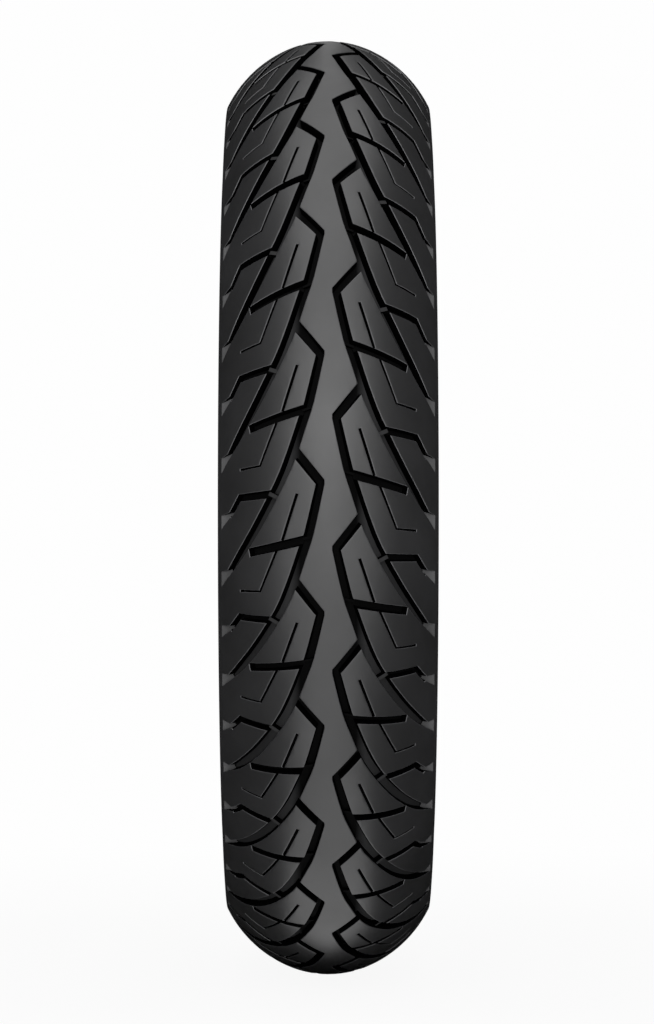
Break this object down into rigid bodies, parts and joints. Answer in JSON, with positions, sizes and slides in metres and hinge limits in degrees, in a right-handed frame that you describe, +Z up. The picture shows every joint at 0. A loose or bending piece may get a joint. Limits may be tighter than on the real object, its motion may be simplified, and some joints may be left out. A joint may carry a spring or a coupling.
{
  "type": "motorcycle tire",
  "caption": "Wide tubeless motorcycle tire with a zigzag block tread, shown as its separate rubber, cord and bead-wire layers.",
  "frame": {"origin": "middle of the tire, on the wheel axis and halfway between the sidewalls", "axes": "+Y along the wheel axis towards the side called right, +Z up, +X towards the front"},
  "size_m": [0.658, 0.1442, 0.658],
  "materials": {
    "tread_rubber": "matte black rubber",
    "side_rubber": "matte black rubber",
    "liner_rubber": "smooth dull black rubber",
    "bead_rubber": "hard dull black rubber",
    "carcass_cloth": "rubber-coated nylon cord cloth",
    "breaker_cloth": "rubber-coated aramid cord cloth",
    "bead_cloth": "rubber-coated square-woven cloth",
    "bead_steel": "bronze-coated drawn steel wire"
  },
  "bodies": {
    "root": {"tread_cap": "tread_rubber", "tread_base": "side_rubber", "outer_breaker_ply": "breaker_cloth", "inner_breaker_ply": "breaker_cloth", "outer_carcass_ply": "carcass_cloth", "inner_carcass_ply": "carcass_cloth", "inner_liner": "liner_rubber", "breaker_edge_strip_left": "side_rubber", "breaker_edge_strip_right": "side_rubber", "tread_wing_left": "side_rubber", "tread_wing_right": "side_rubber", "sidewall_left": "side_rubber", "sidewall_right": "side_rubber", "rim_strip_left": "side_rubber", "rim_strip_right": "side_rubber", "toe_strip_left": "side_rubber", "toe_strip_right": "side_rubber", "chafer_left": "bead_cloth", "chafer_right": "bead_cloth", "bead_filler_left": "bead_rubber", "bead_filler_right": "bead_rubber", "bead_wrap_left": "bead_cloth", "bead_wrap_right": "bead_cloth", "bead_insulation_left": "bead_rubber", "bead_insulation_right": "bead_rubber", "bead_wires_left": "bead_steel", "bead_wires_right": "bead_steel"}
  },
  "joints": []
}
